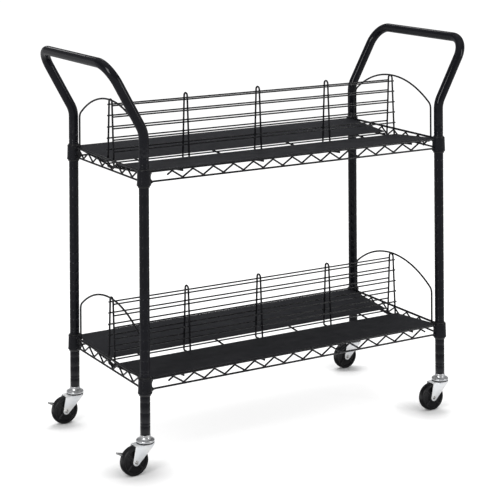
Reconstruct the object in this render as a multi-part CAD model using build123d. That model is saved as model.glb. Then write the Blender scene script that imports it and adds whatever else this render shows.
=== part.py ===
from build123d import *
import os
from math import acos, atan2, cos, hypot, pi, radians, sin, sqrt, tan

# Wire book cart: four posts, two push handles, two trough-shaped shelves, four swivel casters.
# Millimetres, +Z up, X along the length, Y from the front (-) to the rear (+),
# origin on the floor under the cart's centre.

os.makedirs("parts", exist_ok=True)

# ---- shared dimensions -----------------------------------------------------
POST_X, POST_Y = 452.0, 212.0           # post axes
POST_R, POST_WALL = 12.7, 1.5
POST_BOTTOM, POST_TOP = 95.0, 775.0
POST_BORE = POST_R - POST_WALL
BORE_FIT = 0.05                         # radial play of parts inside a post or collar
GROOVE_TOP, GROOVE_PITCH = 759.0, 25.4  # rings cut round each post

# Side of the cart in X and Y
CORNERS = {
    "front_left": (-1, -1),
    "front_right": (1, -1),
    "rear_left": (-1, 1),
    "rear_right": (1, 1),
}


# ---- helpers ---------------------------------------------------------------
def save(name, shapes):
    """Write one piece; several solids go into a compound."""
    solids = [solid for shape in shapes for solid in shape.solids()]
    body = solids[0] if len(solids) == 1 else Compound(children=solids)
    body.label = name
    export_step(body, f"parts/{name}.step")


def placed(shape, x, y, z=0):
    return Location((x, y, z)) * shape


def at_posts(shapes, z=0):
    """Copies of the shapes on all four post axes."""
    return [
        placed(shape, side_x * POST_X, side_y * POST_Y, z)
        for side_x, side_y in CORNERS.values()
        for shape in shapes
    ]


def save_per_corner(prefix, shape):
    for corner, (side_x, side_y) in CORNERS.items():
        save(f"{prefix}_{corner}", [placed(shape, side_x * POST_X, side_y * POST_Y)])


def polygon(plane, points):
    return make_face(plane * Polyline(*points, close=True))


def turned(profile):
    """Solid of revolution about Z from (radius, z) points."""
    return revolve(polygon(Plane.XZ, profile), Axis.Z, 360)


def rod(start, end, radius):
    """Round straight wire between two points."""
    start = Vector(*start)
    run = Vector(*end) - start
    return extrude(Plane(origin=start, z_dir=run) * Circle(radius), run.length)


def wire_along(path, radius):
    """Round wire swept along a tangent path."""
    return sweep(Plane(origin=path @ 0, z_dir=path % 0) * Circle(radius), path=path)


# ---- posts -----------------------------------------------------------------
GROOVE_COUNT, GROOVE_DEPTH, GROOVE_HALF = 26, 0.6, 1.2
MARK_EVERY, MARK_DROP = 5, 7.0          # every fifth groove has a second one below it


def post():
    """Tube with V grooves round the outside."""
    grooves = []
    for i in range(GROOVE_COUNT):
        z = GROOVE_TOP - GROOVE_PITCH * i
        grooves.append(z)
        if i % MARK_EVERY == 0:
            grooves.append(z - MARK_DROP)
    profile = [(POST_R - 0.5, POST_BOTTOM), (POST_R, POST_BOTTOM + 0.5)]
    for z in sorted(grooves):
        profile += [
            (POST_R, z - GROOVE_HALF), (POST_R - GROOVE_DEPTH, z), (POST_R, z + GROOVE_HALF),
        ]
    profile += [
        (POST_R, POST_TOP - 0.6), (POST_R - 0.6, POST_TOP),
        (POST_BORE, POST_TOP), (POST_BORE, POST_BOTTOM),
    ]
    return turned(profile)


save_per_corner("post", post())

# ---- push handles and post fittings ----------------------------------------
HANDLE_X, HANDLE_Z = 548.0, 1009.5      # centreline of the push bar
HANDLE_TILT = 29.2                      # leg slope from vertical, degrees
HANDLE_BEND_LOW, HANDLE_BEND_TOP = 65.0, 57.0
COUPLER_LENGTH, COUPLER_BORE = 60.0, 7.0


def handle(side):
    """Bent tube rising from the front and rear posts of one end."""
    knee_z = HANDLE_Z - (HANDLE_X - POST_X) / tan(radians(HANDLE_TILT))
    front_leg = [
        (side * POST_X, -POST_Y, POST_TOP),
        (side * POST_X, -POST_Y, knee_z),
        (side * HANDLE_X, -POST_Y, HANDLE_Z),
    ]
    rear_leg = [(x, -y, z) for x, y, z in reversed(front_leg)]
    bends = (HANDLE_BEND_LOW, HANDLE_BEND_TOP, HANDLE_BEND_TOP, HANDLE_BEND_LOW)
    path = FilletPolyline(*front_leg, *rear_leg, radius=bends)
    ring = Circle(POST_R) - Circle(POST_BORE)
    return sweep(Plane(origin=front_leg[0], z_dir=(0, 0, 1)) * ring, path=path)


def coupler():
    """Hollow plug joining a handle leg to its post."""
    outside = Cylinder(POST_BORE - BORE_FIT, COUPLER_LENGTH)
    return outside - Cylinder(COUPLER_BORE, COUPLER_LENGTH)


def post_insert():
    """Insert in the foot of a post, round the caster stem."""
    outside = POST_BORE - BORE_FIT
    return turned([
        (5.55, 95.4), (5.55, 131), (8.0, 133.5), (outside, 133.5), (outside, 95.4),
    ])


save("handle_left", [handle(-1)])
save("handle_right", [handle(1)])
save("handle_couplers", at_posts([coupler()], POST_TOP))
save("post_inserts", at_posts([post_insert()]))

# ---- shelf dimensions ------------------------------------------------------
# Shelf heights are measured from the centre of the top rim wire.
SHELF_Z = {"upper": 739.0, "lower": 227.8}
WIRE_GAP = 0.03                         # clearance between touching wires
RIM_R, RIM_LOW_R, RIM_DROP = 3.0, 2.5, 25.0
MAT_SHIFT = 7.3                         # long trusses and inner cross wires sit this far to +X

TRUSS_R, TRUSS_BEND = 2.0, 3.0
TRUSS_HALF_PITCH, TRUSS_STUB = 29.3, 14.0
TRUSS_HIGH, TRUSS_LOW = -4.0, -21.8     # centreline at the peaks and valleys
LONG_PEAKS, END_PEAKS = 14, 7

CROSS_R, CROSS_BEND = 2.5, 15.0
CROSS_MID_Z, DECK_SLOPE = -22.5, 0.080  # cross wire centre at Y=0, and its rise per mm of |Y|
CROSS_LAYOUT = (                        # distance in X, shift in X, half length in Y
    (117.3, MAT_SHIFT, POST_Y + 1.8),
    (352.0, MAT_SHIFT, POST_Y + 1.8),
    (436.0, 0.0, 191.0),
)
DECK_R, DECK_INNER_Y, DECK_PITCH, DECK_COUNT = 2.0, 22.45, 25.8, 8
DECK_HALF, DECK_OUTER_HALF = 445.0, 429.0   # half length; the outermost wires are shorter
DECK_LIFT = CROSS_R + DECK_R + WIRE_GAP     # deck wires above the cross wires

LINER_T, LINER_X = 2.0, 443.4
LINER_INNER_Y, LINER_OUTER_Y = {-1: 21.3, 1: 28.5}, 208.5
LINER_NOTCH_R, CUT_LENGTH = 19.0, 60.0

COLLAR_TOP, COLLAR_BOTTOM = 6.0, -33.0
COLLAR_R_TOP, COLLAR_R_BOTTOM, COLLAR_WALL = 16.5, 17.6, 1.9
COLLAR_TURN = {(-1, -1): 0, (1, -1): 90, (1, 1): 180, (-1, 1): 270}
RIB_HALF, WEB_HALF = 1.5, 1.2           # half thicknesses
SLEEVE_FIT = 0.06                       # radial play on the post
SLEEVE_SLIT = 1.2                       # half the slit between sleeve halves, degrees

ARCH_R, ARCH_BEND = 2.5, 20.0
ARCH_X, ARCH_Y = POST_X - RIM_R - ARCH_R, 184.0
ARCH_FOOT, ARCH_SHOULDER, ARCH_PEAK = -3.0, 91.0, 153.0

DIVIDER_R, DIVIDER_TOP = 2.5, 153.0
DIVIDER_BEND_FOOT, DIVIDER_BEND_TOP = 4.0, 8.2
DIVIDER_END_X = ARCH_X - ARCH_R - DIVIDER_R
DIVIDER_X = (-DIVIDER_END_X, -222.0, 0.0, 222.0, DIVIDER_END_X)
DIVIDER_FOOT_LIFT = 0.1
LEG_HIGH, LEG_HALF_HIGH = DIVIDER_TOP - 12.0, 9.0   # height, half spacing of the legs
LEG_LOW, LEG_HALF_LOW = -18.0, 18.0
LEG_SPREAD = (LEG_HALF_LOW - LEG_HALF_HIGH) / (LEG_HIGH - LEG_LOW)
RAIL_R, RAIL_X = 2.0, DIVIDER_END_X + DIVIDER_R
RAIL_LEVELS = (138.0, 109.0, 79.0, 50.0, 20.0)


def collar_radius(z):
    """Outer radius of a collar at a shelf height."""
    fraction = (COLLAR_TOP - z) / (COLLAR_TOP - COLLAR_BOTTOM)
    return COLLAR_R_TOP + (COLLAR_R_BOTTOM - COLLAR_R_TOP) * fraction


def deck_z(y, above=0.0):
    """Height of the cross wire centre at Y, plus a distance measured square to the slope."""
    return CROSS_MID_Z + DECK_SLOPE * abs(y) + above * sqrt(1 + DECK_SLOPE ** 2)


def leg_half(z):
    """Half the spacing of a divider upright's two legs at a height."""
    return LEG_HALF_HIGH + (LEG_HIGH - z) * LEG_SPREAD


# ---- shelf wires -----------------------------------------------------------
def rim_wires(z, radius):
    """Four straight wires between the collars."""
    inset = collar_radius(z - radius) + WIRE_GAP
    end_x, end_y = POST_X - inset, POST_Y - inset
    wires = []
    for side in (-1, 1):
        y, x = side * POST_Y, side * POST_X
        wires.append(rod((-end_x, y, z), (end_x, y, z), radius))
        wires.append(rod((x, -end_y, z), (x, end_y, z), radius))
    return wires


def truss_corners(count, shift=0.0):
    """(run, z) corners of a zigzag, moved out so that its bends reach the stated heights."""
    slope = (TRUSS_HIGH - TRUSS_LOW) / TRUSS_HALF_PITCH
    overshoot = TRUSS_BEND * (1 / cos(atan2(TRUSS_HIGH - TRUSS_LOW, TRUSS_HALF_PITCH)) - 1)
    stub_z = TRUSS_HIGH - TRUSS_STUB * slope
    peaks = [TRUSS_HALF_PITCH * (2 * i - (count - 1)) + shift for i in range(count)]
    corners = [(peaks[0] - TRUSS_STUB, stub_z)]
    for peak in peaks:
        corners.append((peak, TRUSS_HIGH + overshoot))
        corners.append((peak + TRUSS_HALF_PITCH, TRUSS_LOW - overshoot))
    corners[-1] = (peaks[-1] + TRUSS_STUB, stub_z)   # the last peak ends in a stub
    return corners


def truss_zigzags():
    """Bent wires between the top and bottom rims, on all four sides."""
    front_points = [(run, -POST_Y, z) for run, z in truss_corners(LONG_PEAKS, MAT_SHIFT)]
    end_points = [(POST_X, run, z) for run, z in truss_corners(END_PEAKS)]
    front = wire_along(FilletPolyline(*front_points, radius=TRUSS_BEND), TRUSS_R)
    end = wire_along(FilletPolyline(*end_points, radius=TRUSS_BEND), TRUSS_R)
    return [front, mirror(front, Plane.XZ), end, mirror(end, Plane.YZ)]


def cross_wires():
    """Shallow V wires running front to rear under the deck."""
    wires = []
    for distance, shift, end_y in CROSS_LAYOUT:
        for side in (-1, 1):
            x = side * distance + shift
            points = [(x, y, deck_z(y)) for y in (-end_y, 0, end_y)]
            wires.append(wire_along(FilletPolyline(*points, radius=CROSS_BEND), CROSS_R))
    return wires


def deck_wires():
    """Lengthwise wires lying on the cross wires."""
    wires = []
    for i in range(DECK_COUNT):
        half = DECK_OUTER_HALF if i == DECK_COUNT - 1 else DECK_HALF
        for side in (-1, 1):
            y = side * (DECK_INNER_Y + i * DECK_PITCH)
            z = deck_z(y, DECK_LIFT)
            wires.append(rod((-half, y, z), (half, y, z), DECK_R))
    return wires


def liner(side):
    """Flat sloping panel on the deck wires, notched round two collars."""
    inner_y = LINER_INNER_Y[side]
    lift = DECK_LIFT + DECK_R + WIRE_GAP
    inner_z, outer_z = deck_z(inner_y, lift), deck_z(LINER_OUTER_Y, lift)
    rise = LINER_T * sqrt(1 + DECK_SLOPE ** 2)
    section = [
        (side * inner_y, inner_z), (side * LINER_OUTER_Y, outer_z),
        (side * LINER_OUTER_Y, outer_z + rise), (side * inner_y, inner_z + rise),
    ]
    slab = extrude(polygon(Plane.YZ, section), LINER_X, both=True)
    for end in (-1, 1):
        slab -= placed(Cylinder(LINER_NOTCH_R, CUT_LENGTH), end * POST_X, side * POST_Y)
    return slab


# ---- collars and sleeves ---------------------------------------------------
def collar():
    """Tapered collar with a rib and a web towards each of local +X and +Y."""
    body = turned([
        (COLLAR_R_TOP - COLLAR_WALL, COLLAR_TOP), (COLLAR_R_TOP - 0.8, COLLAR_TOP),
        (COLLAR_R_TOP, COLLAR_TOP - 0.8), (COLLAR_R_BOTTOM, COLLAR_BOTTOM + 1.5),
        (COLLAR_R_BOTTOM - 0.9, COLLAR_BOTTOM), (COLLAR_R_BOTTOM - COLLAR_WALL, COLLAR_BOTTOM),
    ])
    # rib under the bottom rim wire
    z = -RIM_DROP - RIM_LOW_R - 0.02
    radius = collar_radius(z)
    rib_points = [
        (radius - 1.0, z), (radius + 8.0, z), (radius + 4.2, z - 1.5), (radius + 1.6, z - 3.4),
        (COLLAR_R_BOTTOM - 0.9, COLLAR_BOTTOM + 0.5),
    ]
    rib = extrude(polygon(Plane.XZ, rib_points), RIB_HALF, both=True)
    # web between the two rim wires
    high, low = -RIM_R - 0.05, -RIM_DROP + RIM_LOW_R + 0.05
    radius_high, radius_low = collar_radius(high), collar_radius(low)
    web_points = [
        (radius_high - 1.0, high - 0.2), (radius_high + 4.5, high - 0.2),
        (radius_low + 2.0, (high + low) / 2),
        (radius_low + 4.5, low), (radius_low - 1.0, low),
    ]
    web = extrude(polygon(Plane.XZ, web_points), WEB_HALF, both=True)
    for fin in (rib, web):
        body = body + fin + Rot(0, 0, 90) * fin
    return body


def corner_collars():
    """Collars turned so that their fins point along the rim wires."""
    body = collar()
    return [
        placed(Rot(0, 0, COLLAR_TURN[sides]) * body, sides[0] * POST_X, sides[1] * POST_Y)
        for sides in CORNERS.values()
    ]


def sleeve_halves(shelf_z):
    """Two tapered half sleeves with an inner bead seated in a post groove."""
    bore = POST_R + SLEEVE_FIT
    radius_top = COLLAR_R_TOP - COLLAR_WALL - BORE_FIT
    radius_low = COLLAR_R_BOTTOM - COLLAR_WALL - BORE_FIT
    groove = round((GROOVE_TOP - shelf_z + 4.0) / GROOVE_PITCH)
    bead = GROOVE_TOP - GROOVE_PITCH * groove - shelf_z
    top, bottom = COLLAR_TOP + 2.0, COLLAR_BOTTOM - 4.5
    profile = [
        (bore, top), (radius_top - 0.35, top), (radius_top, top - 0.5),
        (radius_top, COLLAR_TOP), (radius_low, COLLAR_BOTTOM),
        (radius_low - 0.5, COLLAR_BOTTOM - 0.5), (radius_low - 0.5, bottom + 1.2),
        (bore + 0.35, bottom), (bore, bottom),
        (bore, bead - 0.8), (bore - 0.45, bead), (bore, bead + 0.8),
    ]
    turn = 180 - 2 * SLEEVE_SLIT
    half = Rot(0, 0, SLEEVE_SLIT) * revolve(polygon(Plane.XZ, profile), Axis.Z, turn)
    return [half, Rot(0, 0, 180) * half]


# ---- dividers and end arches -----------------------------------------------
def divider_uprights():
    """Closed loops, wider at the foot, standing between the innermost deck wires."""
    foot = deck_z(0, DECK_LIFT) + DIVIDER_FOOT_LIFT - DECK_R - DIVIDER_R - WIRE_GAP
    loops = []
    for x in DIVIDER_X:
        points = [
            (x, 0, foot), (x, leg_half(foot), foot),
            (x, leg_half(DIVIDER_TOP), DIVIDER_TOP), (x, 0, DIVIDER_TOP),
        ]
        path = FilletPolyline(*points, radius=(DIVIDER_BEND_FOOT, DIVIDER_BEND_TOP))
        rear = wire_along(path, DIVIDER_R)
        loops.append(rear + mirror(rear, Plane.XZ))
    return loops


def divider_rails():
    """Lengthwise wires along the outside of the uprights."""
    offset = (DIVIDER_R + RAIL_R) * sqrt(1 + LEG_SPREAD ** 2) + WIRE_GAP
    rails = []
    for z in RAIL_LEVELS:
        for side in (-1, 1):
            y = side * (leg_half(z) + offset)
            rails.append(rod((-RAIL_X, y, z), (RAIL_X, y, z), RAIL_R))
    return rails


def end_arches():
    """Wire at each end: two legs inside the rim, rounded shoulders and a shallow arc."""
    height = ARCH_PEAK - ARCH_SHOULDER
    arc_r = (ARCH_Y ** 2 + height ** 2) / (2 * height)
    arc_z = ARCH_PEAK - arc_r
    # shoulder bend: tangent to the leg and to the inside of the arc
    bend_y = ARCH_Y - ARCH_BEND
    bend_z = arc_z + sqrt((arc_r - ARCH_BEND) ** 2 - bend_y ** 2)
    angle = atan2(bend_z - arc_z, bend_y)

    def on_bend(side, turn):
        y = bend_y + ARCH_BEND * cos(turn)
        return (ARCH_X, side * y, bend_z + ARCH_BEND * sin(turn))

    feet = {side: (ARCH_X, side * ARCH_Y, ARCH_FOOT) for side in (-1, 1)}
    leg_tops = {side: (ARCH_X, side * ARCH_Y, bend_z) for side in (-1, 1)}
    pieces = [
        Line(feet[-1], leg_tops[-1]),
        ThreePointArc(leg_tops[-1], on_bend(-1, angle / 2), on_bend(-1, angle)),
        ThreePointArc(on_bend(-1, angle), (ARCH_X, 0, ARCH_PEAK), on_bend(1, angle)),
        ThreePointArc(on_bend(1, angle), on_bend(1, angle / 2), leg_tops[1]),
        Line(leg_tops[1], feet[1]),
    ]
    path = Wire([piece.edge() for piece in pieces])
    arch = sweep(Plane(origin=feet[-1], z_dir=(0, 0, 1)) * Circle(ARCH_R), path=path)
    return [arch, mirror(arch, Plane.YZ)]


shelf_pieces = {
    "rim_top_wires": rim_wires(0.0, RIM_R),
    "rim_bottom_wires": rim_wires(-RIM_DROP, RIM_LOW_R),
    "truss_zigzags": truss_zigzags(),
    "cross_wires": cross_wires(),
    "deck_wires": deck_wires(),
    "liner_front": [liner(-1)],
    "liner_rear": [liner(1)],
    "corner_collars": corner_collars(),
    "divider_uprights": divider_uprights(),
    "divider_rails": divider_rails(),
    "end_arches": end_arches(),
}
for level, shelf_z in SHELF_Z.items():
    for piece_name, shapes in shelf_pieces.items():
        save(f"{level}_{piece_name}", [placed(shape, 0, 0, shelf_z) for shape in shapes])
    save(f"{level}_split_sleeves", at_posts(sleeve_halves(shelf_z), shelf_z))

# ---- casters ---------------------------------------------------------------
# Built about the post axis; every wheel trails towards -X and its axle runs along Y.
AXLE_X, AXLE_Z = -31.0, 36.0
WHEEL_R, WHEEL_HALF = 36.0, 11.0
FORK_TOP, FORK_T, FORK_HALF = 75.2, 2.0, 15.5
FORK_INNER = FORK_HALF - FORK_T         # half the width between the legs
FORK_BACK_X, FORK_FRONT_X, FORK_FRONT_Z = -30.0, 18.0, 71.5
FORK_EYE_R, FORK_AXLE_HOLE, FORK_EDGE_FILLET = 8.8, 4.04, 1.6
STEM_HOLE = 5.56
CAP_BOTTOM = 78.2
BALL_COUNT, BALL_R, BALL_RING = 14, 1.3, 12.0
SPOKE_COUNT, SPOKE_START = 8, 10        # count and first angle, degrees
BUSHING_R, BUSHING_BORE, BUSHING_GAP = 6.0, 4.06, 0.2
LEVER_T, LEVER_GAP, LEVER_EYE_R = 1.7, 0.25, 8.6
LEVER_ANGLE, LEVER_LENGTH = 147.5, 38.6     # degrees from +X towards +Z
PEDAL_ANGLE, PEDAL_LENGTH, PEDAL_WIDTH = 167.0, 10.4, 17.0

# (radius, z) outlines
STEM_PROFILE = [
    (0, 68.0), (7.2, 68.0), (8.6, 69.2), (8.6, 71.4), (7.8, 72.4), (5.5, 72.4),
    (5.5, 128.5), (4.4, 130.0), (0, 130.0),
]
CAP_PROFILE = [
    (STEM_HOLE, CAP_BOTTOM), (22.4, CAP_BOTTOM), (23.0, 78.8), (23.0, 84.6), (22.2, 86.0),
    (18.6, 86.6), (15.6, 88.2), (13.6, 90.4), (12.4, 93.2), (12.4, 94.9), (STEM_HOLE, 94.9),
]
SEAL_PROFILE = [
    (17.4, 75.5), (22.0, 75.5), (22.6, 76.1), (22.6, 77.6), (22.0, 78.1), (17.4, 78.1),
]


def on_axle(shape, y=0):
    """Lay a shape built about Z along the wheel axle."""
    return Pos(AXLE_X, y, AXLE_Z) * Rot(90, 0, 0) * shape


def turned_both_sides(half):
    """Turned solid from half an outline, mirrored in z."""
    return turned(half + [(radius, -z) for radius, z in reversed(half) if z != 0])


def swivel_balls():
    """Ring of balls between the fork plate and the cap."""
    z = (FORK_TOP + CAP_BOTTOM) / 2
    angles = [2 * pi * i / BALL_COUNT for i in range(BALL_COUNT)]
    ball = Sphere(BALL_R)
    return [placed(ball, BALL_RING * cos(turn), BALL_RING * sin(turn), z) for turn in angles]


def eye_tangent(x, z, side):
    """Where the line from a point touches the fork eye, on the chosen side."""
    run, rise = x - AXLE_X, z - AXLE_Z
    angle = atan2(rise, run) + side * acos(FORK_EYE_R / hypot(run, rise))
    return (AXLE_X + FORK_EYE_R * cos(angle), AXLE_Z + FORK_EYE_R * sin(angle))


def fork():
    """Flat top plate and two tapered legs swept back to the axle."""
    outline = [
        (FORK_BACK_X, FORK_TOP), eye_tangent(FORK_BACK_X, FORK_TOP, 1),
        (AXLE_X, AXLE_Z), eye_tangent(FORK_FRONT_X, FORK_FRONT_Z, -1),
        (FORK_FRONT_X, FORK_FRONT_Z), (FORK_FRONT_X, FORK_TOP),
    ]
    face = polygon(Plane.XZ, outline) + Plane.XZ * Pos(AXLE_X, AXLE_Z) * Circle(FORK_EYE_R)
    blank = extrude(face, FORK_HALF, both=True)
    room_height = FORK_TOP - FORK_T
    body = blank - Pos(-20, 0, room_height / 2) * Box(120, 2 * FORK_INNER, room_height)
    top_edges = [
        edge for edge in body.edges().filter_by(Axis.X)
        if abs((edge @ 0.5).Z - FORK_TOP) < 0.01
    ]
    body = fillet(top_edges, FORK_EDGE_FILLET)
    body -= Pos(0, 0, FORK_TOP) * Cylinder(STEM_HOLE, 20)
    body -= on_axle(Cylinder(FORK_AXLE_HOLE, CUT_LENGTH))
    return body


def wheel():
    """Rounded tread, raised side rims, thin web with spokes, and a hub."""
    solid = turned_both_sides([
        (WHEEL_R, 0), (WHEEL_R, WHEEL_HALF - 5.2), (WHEEL_R - 0.7, WHEEL_HALF - 2.6),
        (WHEEL_R - 2.4, WHEEL_HALF - 0.8), (WHEEL_R - 4.6, WHEEL_HALF),
        (WHEEL_R - 7.2, WHEEL_HALF), (WHEEL_R - 8.0, WHEEL_HALF - 0.6),
        (WHEEL_R - 8.8, WHEEL_HALF - 4.4), (13.2, WHEEL_HALF - 4.4), (12.0, WHEEL_HALF - 0.4),
        (11.4, WHEEL_HALF), (6.55, WHEEL_HALF), (6.05, WHEEL_HALF - 0.5),
    ])
    spoke = Pos(19.5, 0, 0) * Box(17.0, 2.2, 2 * (WHEEL_HALF - 1.6))
    for i in range(SPOKE_COUNT):
        solid += Rot(0, 0, 360 / SPOKE_COUNT * i + SPOKE_START) * spoke
    return on_axle(solid)


def axle():
    """Axle with a domed head outside each fork leg."""
    return on_axle(turned_both_sides([
        (0, FORK_HALF + 2.5), (2.6, FORK_HALF + 2.3), (4.2, FORK_HALF + 1.4),
        (4.8, FORK_HALF + 0.06), (4.0, FORK_HALF + 0.06),
    ]))


def bushing(rear_gap):
    """Tube on the axle, spacing the wheel inside the fork."""
    front, rear = -(FORK_INNER - BUSHING_GAP), FORK_INNER - rear_gap
    tube = Cylinder(BUSHING_R, rear - front) - Cylinder(BUSHING_BORE, CUT_LENGTH)
    return on_axle(tube, (front + rear) / 2)


def tilted_frame(origin, degrees):
    """Maps (along, across) distances on a tilted line to (x, z)."""
    run, rise = cos(radians(degrees)), sin(radians(degrees))

    def point(along, across):
        return (origin[0] + run * along - rise * across, origin[1] + rise * along + run * across)

    return point


def brake_lever():
    """Arm between the wheel and the rear fork leg, with a tab across the tread."""
    arm_at = tilted_frame((AXLE_X, AXLE_Z), LEVER_ANGLE)
    pedal_at = tilted_frame(arm_at(LEVER_LENGTH, 0), PEDAL_ANGLE)
    half = LEVER_T / 2
    arm_points = [
        arm_at(0, -7.5), arm_at(20, -5.0), pedal_at(0, -half), pedal_at(PEDAL_LENGTH, -half),
        pedal_at(PEDAL_LENGTH, 3.2), arm_at(37.5, 6.0), arm_at(20, 5.0), arm_at(0, 7.5),
    ]
    tab_points = [
        pedal_at(0, half), pedal_at(PEDAL_LENGTH, half),
        pedal_at(PEDAL_LENGTH, -half), pedal_at(0, -half),
    ]
    eye = Plane.XZ * Pos(AXLE_X, AXLE_Z) * Circle(LEVER_EYE_R)
    rear_face = Pos(0, FORK_INNER - LEVER_GAP, 0)
    arm = rear_face * extrude(polygon(Plane.XZ, arm_points) + eye, LEVER_T, dir=(0, -1, 0))
    tab = rear_face * extrude(polygon(Plane.XZ, tab_points), PEDAL_WIDTH, dir=(0, -1, 0))
    return arm + tab - on_axle(Cylinder(BUSHING_BORE, CUT_LENGTH))


save("caster_stems", at_posts([turned(STEM_PROFILE)]))
save("caster_caps", at_posts([turned(CAP_PROFILE)]))
save("caster_seals", at_posts([turned(SEAL_PROFILE)]))
save("swivel_balls", at_posts(swivel_balls()))
save_per_corner("caster_fork", fork())
save_per_corner("caster_axle", axle())
save_per_corner("caster_wheel", wheel())

# The casters at the -X end carry a brake lever and a shorter bushing.
free_bushing = bushing(BUSHING_GAP)
brake_bushing = bushing(LEVER_GAP + LEVER_T + BUSHING_GAP)
lever = brake_lever()
for corner, (side_x, side_y) in CORNERS.items():
    x, y = side_x * POST_X, side_y * POST_Y
    braked = side_x < 0
    save(f"wheel_bushing_{corner}", [placed(brake_bushing if braked else free_bushing, x, y)])
    if braked:
        save(f"brake_lever_{corner}", [placed(lever, x, y)])
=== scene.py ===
import math
from math import cos, sin, pi, radians, sqrt, atan2, acos, tan, hypot

import bmesh
import bpy
import numpy as np
from mathutils import Matrix, Vector


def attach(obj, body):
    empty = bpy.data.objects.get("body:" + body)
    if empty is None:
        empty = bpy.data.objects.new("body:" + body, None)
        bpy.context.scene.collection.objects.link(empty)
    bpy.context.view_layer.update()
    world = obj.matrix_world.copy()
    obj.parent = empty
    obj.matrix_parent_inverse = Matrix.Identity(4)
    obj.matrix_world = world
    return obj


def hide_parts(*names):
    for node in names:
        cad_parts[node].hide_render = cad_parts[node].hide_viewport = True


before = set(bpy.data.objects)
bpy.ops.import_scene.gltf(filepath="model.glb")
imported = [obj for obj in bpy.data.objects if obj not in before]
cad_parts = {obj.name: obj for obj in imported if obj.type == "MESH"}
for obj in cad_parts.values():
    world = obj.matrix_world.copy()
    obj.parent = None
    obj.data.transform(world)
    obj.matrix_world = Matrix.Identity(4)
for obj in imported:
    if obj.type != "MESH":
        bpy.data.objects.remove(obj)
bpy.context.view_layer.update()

MM = 0.001
POST_X, POST_Y = 452.0, 212.0
CORNERS = {"front_left": (-1, -1), "front_right": (1, -1), "rear_left": (-1, 1), "rear_right": (1, 1)}
SHELF = {"upper": 739.0, "lower": 227.8}
SLOPE = 0.080
Q = sqrt(1 + SLOPE * SLOPE)


# ------------------------------------------------------------------ mesh code
class Build:
    """Collects vertices and faces in millimetres."""

    def __init__(self):
        self.v, self.f = [], []

    def add(self, verts, faces):
        o = len(self.v)
        self.v += [tuple(map(float, p)) for p in verts]
        self.f += [tuple(i + o for i in f) for f in faces]

    def moved(self, other, m):
        o = len(self.v)
        m = np.array(m)
        pts = np.array(other.v)
        pts = pts @ m[:3, :3].T + m[:3, 3]
        self.v += [tuple(p) for p in pts]
        flip = np.linalg.det(m[:3, :3]) < 0
        for f in other.f:
            g = tuple(i + o for i in f)
            self.f.append(g[::-1] if flip else g)


def tube(b, path, r, n=14, chamfer=True, r_in=None):
    """Round bar or pipe along a dense polyline, with trimmed ends."""
    p = np.array(path, float)
    keep = [0] + [i for i in range(1, len(p)) if np.linalg.norm(p[i] - p[i - 1]) > 1e-6]
    p = p[keep]
    seg = p[1:] - p[:-1]
    seg /= np.linalg.norm(seg, axis=1)[:, None]
    t = np.vstack([seg[:1], seg[:-1] + seg[1:], seg[-1:]])
    t /= np.linalg.norm(t, axis=1)[:, None]
    ref = np.array([0, 0, 1.0]) if abs(t[0][2]) < 0.9 else np.array([1.0, 0, 0])
    nrm = ref - t[0] * (ref @ t[0])
    nrm /= np.linalg.norm(nrm)
    frames = []
    for i in range(len(p)):
        nrm = nrm - t[i] * (nrm @ t[i])
        nrm /= np.linalg.norm(nrm)
        frames.append((nrm.copy(), np.cross(t[i], nrm)))
    rings = []
    if chamfer and r_in is None:
        rings.append((p[0], 0, 0.72 * r))
        rings.append((p[0] + seg[0] * 0.28 * r, 0, r))
    else:
        rings.append((p[0], 0, r))
    for i in range(1, len(p) - 1):
        c = max(0.35, float(seg[i - 1] @ t[i]))
        rings.append((p[i], i, r / c if c < 0.9999 else r))
    last = len(p) - 1
    if chamfer and r_in is None:
        rings.append((p[last] - seg[-1] * 0.28 * r, last, r))
        rings.append((p[last], last, 0.72 * r))
    else:
        rings.append((p[last], last, r))
    verts, faces = [], []
    a = np.arange(n) * 2 * pi / n
    for c, i, rr in rings:
        u, w = frames[i]
        for k in range(n):
            verts.append(c + (u * cos(a[k]) + w * sin(a[k])) * rr)
    m = len(rings)
    for j in range(m - 1):
        for k in range(n):
            k2 = (k + 1) % n
            faces.append((j * n + k, j * n + k2, (j + 1) * n + k2, (j + 1) * n + k))
    if r_in is None:
        faces.append(tuple(range(n))[::-1])
        faces.append(tuple((m - 1) * n + k for k in range(n)))
    else:
        o = len(verts)
        for c, i, rr in (rings[0], rings[-1]):
            u, w = frames[i]
            for k in range(n):
                verts.append(c + (u * cos(a[k]) + w * sin(a[k])) * r_in)
        # short inner walls and flat annular ends
        u, w = frames[0]
        depth = 12.0
        for k in range(n):
            verts.append(rings[0][0] + seg[0] * depth + (u * cos(a[k]) + w * sin(a[k])) * r_in)
        u, w = frames[last]
        for k in range(n):
            verts.append(rings[-1][0] - seg[-1] * depth + (u * cos(a[k]) + w * sin(a[k])) * r_in)
        for k in range(n):
            k2 = (k + 1) % n
            faces.append((k2, k, o + k, o + k2))
            faces.append((o + k2, o + k, o + 2 * n + k, o + 2 * n + k2))
            e = (m - 1) * n
            faces.append((e + k, e + k2, o + n + k2, o + n + k))
            faces.append((o + n + k, o + n + k2, o + 3 * n + k2, o + 3 * n + k))
        faces.append(tuple(o + 2 * n + k for k in range(n))[::-1])
        faces.append(tuple(o + 3 * n + k for k in range(n)))
    b.add(verts, faces)


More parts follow.
